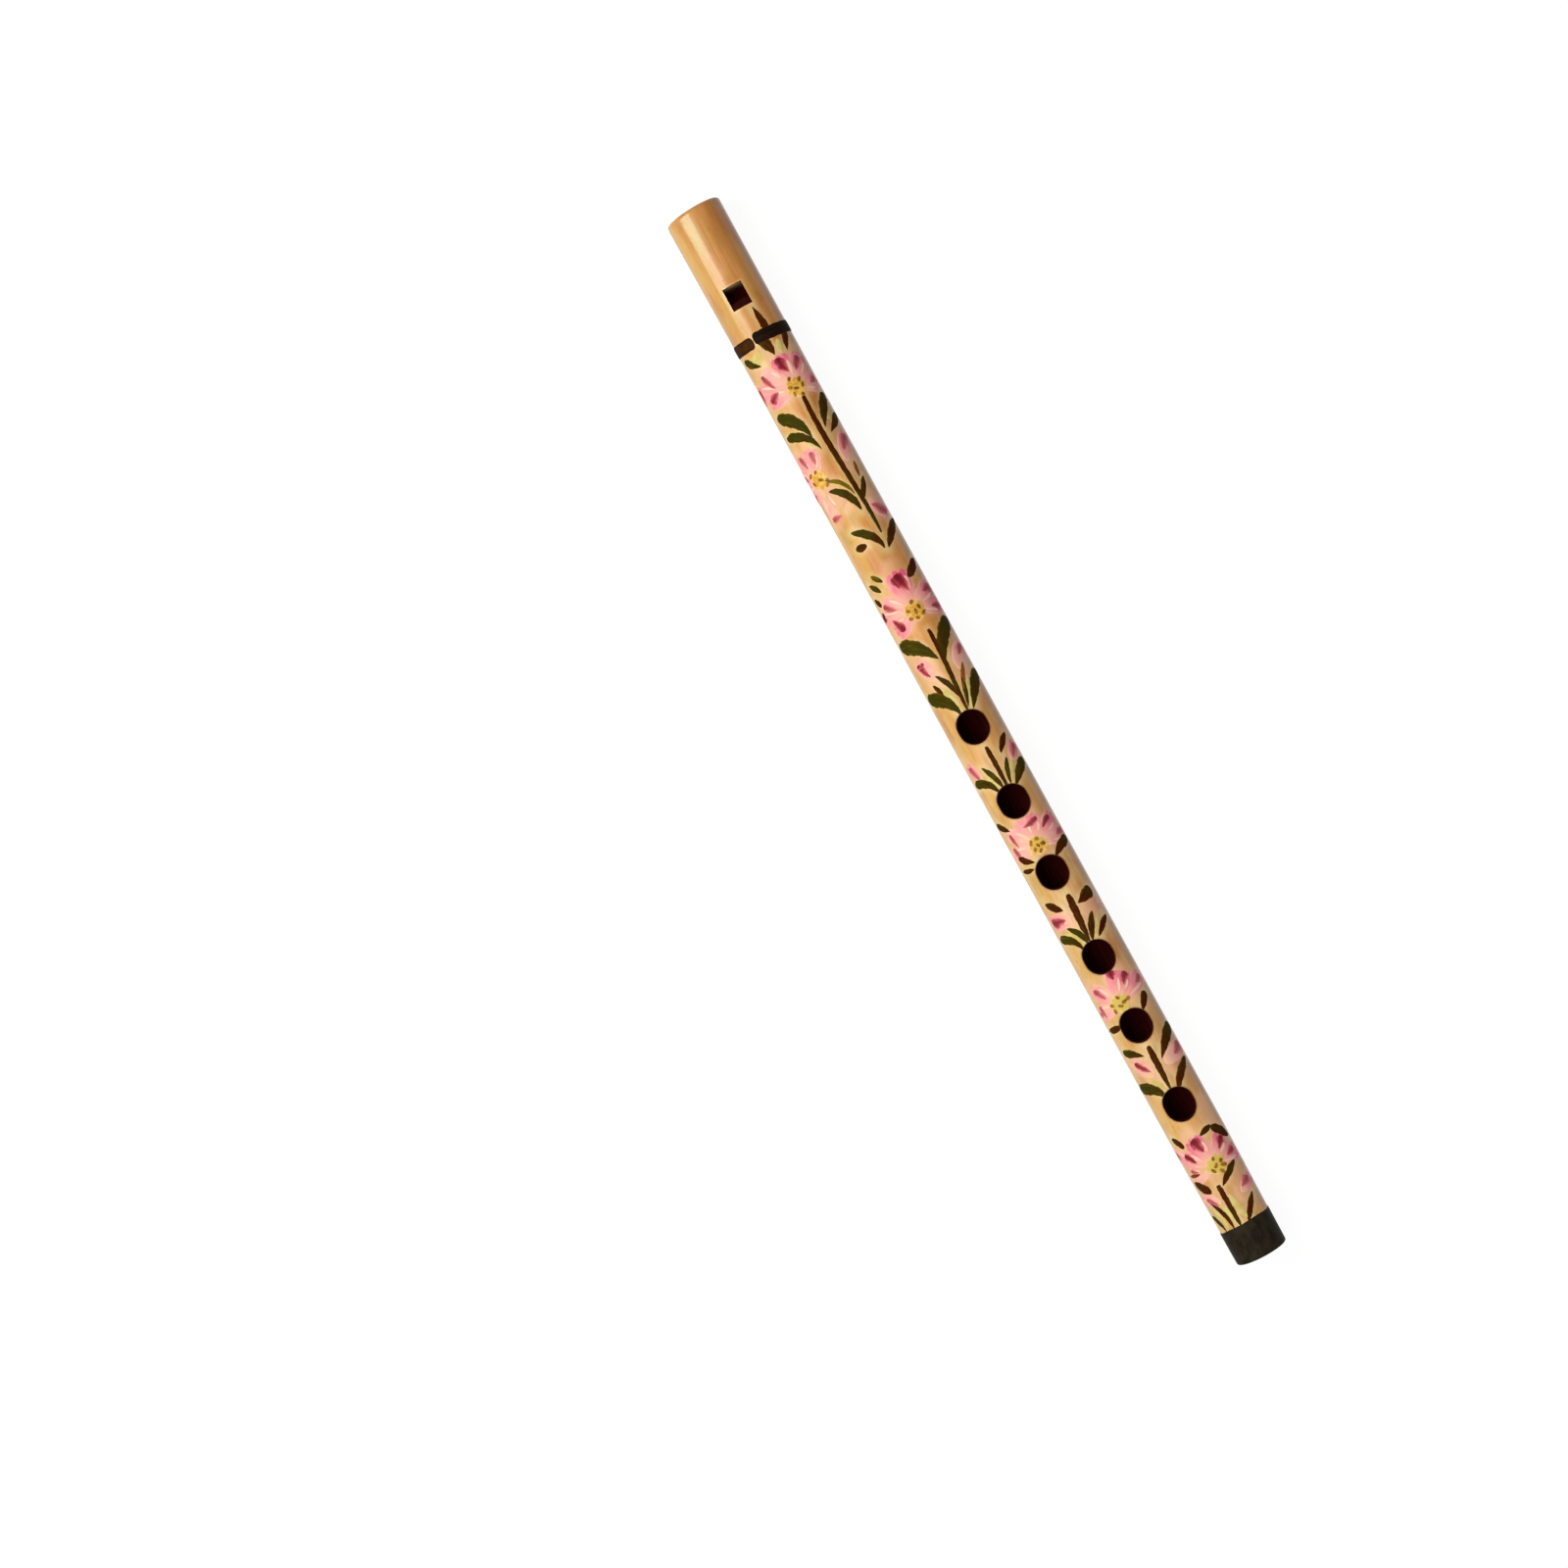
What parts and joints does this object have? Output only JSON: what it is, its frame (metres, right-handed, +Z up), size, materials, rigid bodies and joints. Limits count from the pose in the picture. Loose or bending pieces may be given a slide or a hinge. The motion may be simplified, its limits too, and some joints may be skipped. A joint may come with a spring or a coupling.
{
  "type": "bamboo flute",
  "caption": "End-blown whistle flute of painted bamboo: a plugged mouth end with a windway and square window, finger holes along the front, and black bands at the neck and foot.",
  "frame": {"origin": "under the middle of the flute, on the surface that it lies on", "axes": "+X along the bore from the mouth end to the foot, +Z up through the window and the finger holes, +Y to the player's left when the flute is held to the mouth"},
  "size_m": [0.338, 0.0172, 0.0173],
  "materials": {
    "bamboo": "varnished satin, hand painted",
    "plug_wood": "bare, close grained",
    "black_band": "satin"
  },
  "bodies": {
    "root": {"bamboo_tube": "bamboo", "fipple_plug": "plug_wood", "neck_band": "black_band", "foot_band": "black_band"}
  },
  "joints": []
}
